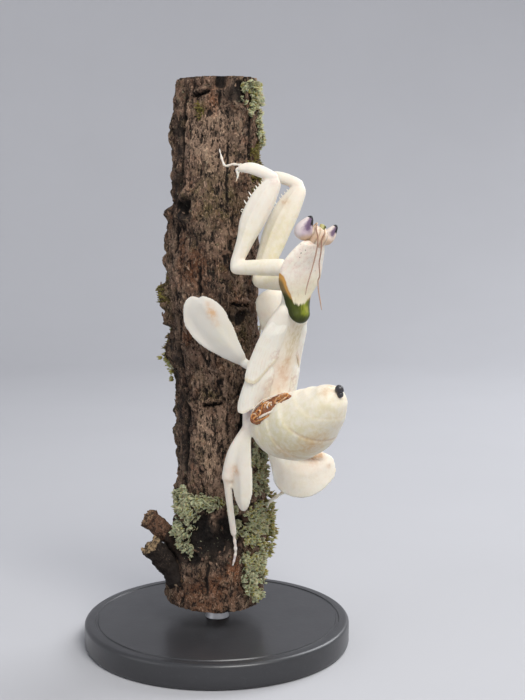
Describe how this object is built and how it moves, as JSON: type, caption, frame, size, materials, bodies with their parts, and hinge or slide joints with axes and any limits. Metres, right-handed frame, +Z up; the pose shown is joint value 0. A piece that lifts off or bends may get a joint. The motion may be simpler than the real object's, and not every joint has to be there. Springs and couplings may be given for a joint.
{
  "type": "orchid mantis model",
  "caption": "Life-size still orchid mantis nymph with petal-shaped leg lobes, gripping a short cut branch on a plain round stand.",
  "frame": {"origin": "middle of the underside of the stand's base", "axes": "+Z up along the branch. The mantis clings head up to the branch's front right side: its back faces +X and -Y, 42 degrees from -Y."},
  "size_m": [0.054, 0.0544, 0.113],
  "materials": {
    "cuticle": "creamy white satin insect cuticle with pink, green and brown tints",
    "eye": "pale lilac compound eye with dark streaks and a black tip",
    "feeler": "reddish brown thread-like antenna",
    "black_tip": "glossy black point of the abdomen",
    "bark": "rough brown bark with fissures and grey-green lichen",
    "stand": "dark satin display base",
    "rod": "brushed steel"
  },
  "bodies": {
    "root": {"stand_base": "stand", "stand_rod": "rod", "branch": "bark", "head": "cuticle", "eye_left": "eye", "eye_right": "eye", "antenna_left": "feeler", "antenna_right": "feeler", "prothorax": "cuticle", "mesothorax": "cuticle", "metathorax": "cuticle", "wing_pad_fore_left": "cuticle", "wing_pad_fore_right": "cuticle", "wing_pad_hind_left": "cuticle", "wing_pad_hind_right": "cuticle", "abdomen": "cuticle", "abdomen_tip": "black_tip", "coxa_fore_left": "cuticle", "femur_fore_left": "cuticle", "tibia_fore_left": "cuticle", "tarsus_fore_left": "cuticle", "coxa_fore_right": "cuticle", "femur_fore_right": "cuticle", "tibia_fore_right": "cuticle", "tarsus_fore_right": "cuticle", "coxa_mid_left": "cuticle", "femur_mid_left": "cuticle", "tibia_mid_left": "cuticle", "tarsus_mid_left": "cuticle", "coxa_mid_right": "cuticle", "femur_mid_right": "cuticle", "tibia_mid_right": "cuticle", "tarsus_mid_right": "cuticle", "coxa_hind_left": "cuticle", "femur_hind_left": "cuticle", "tibia_hind_left": "cuticle", "tarsus_hind_left": "cuticle", "coxa_hind_right": "cuticle", "femur_hind_right": "cuticle", "tibia_hind_right": "cuticle", "tarsus_hind_right": "cuticle"}
  },
  "joints": []
}
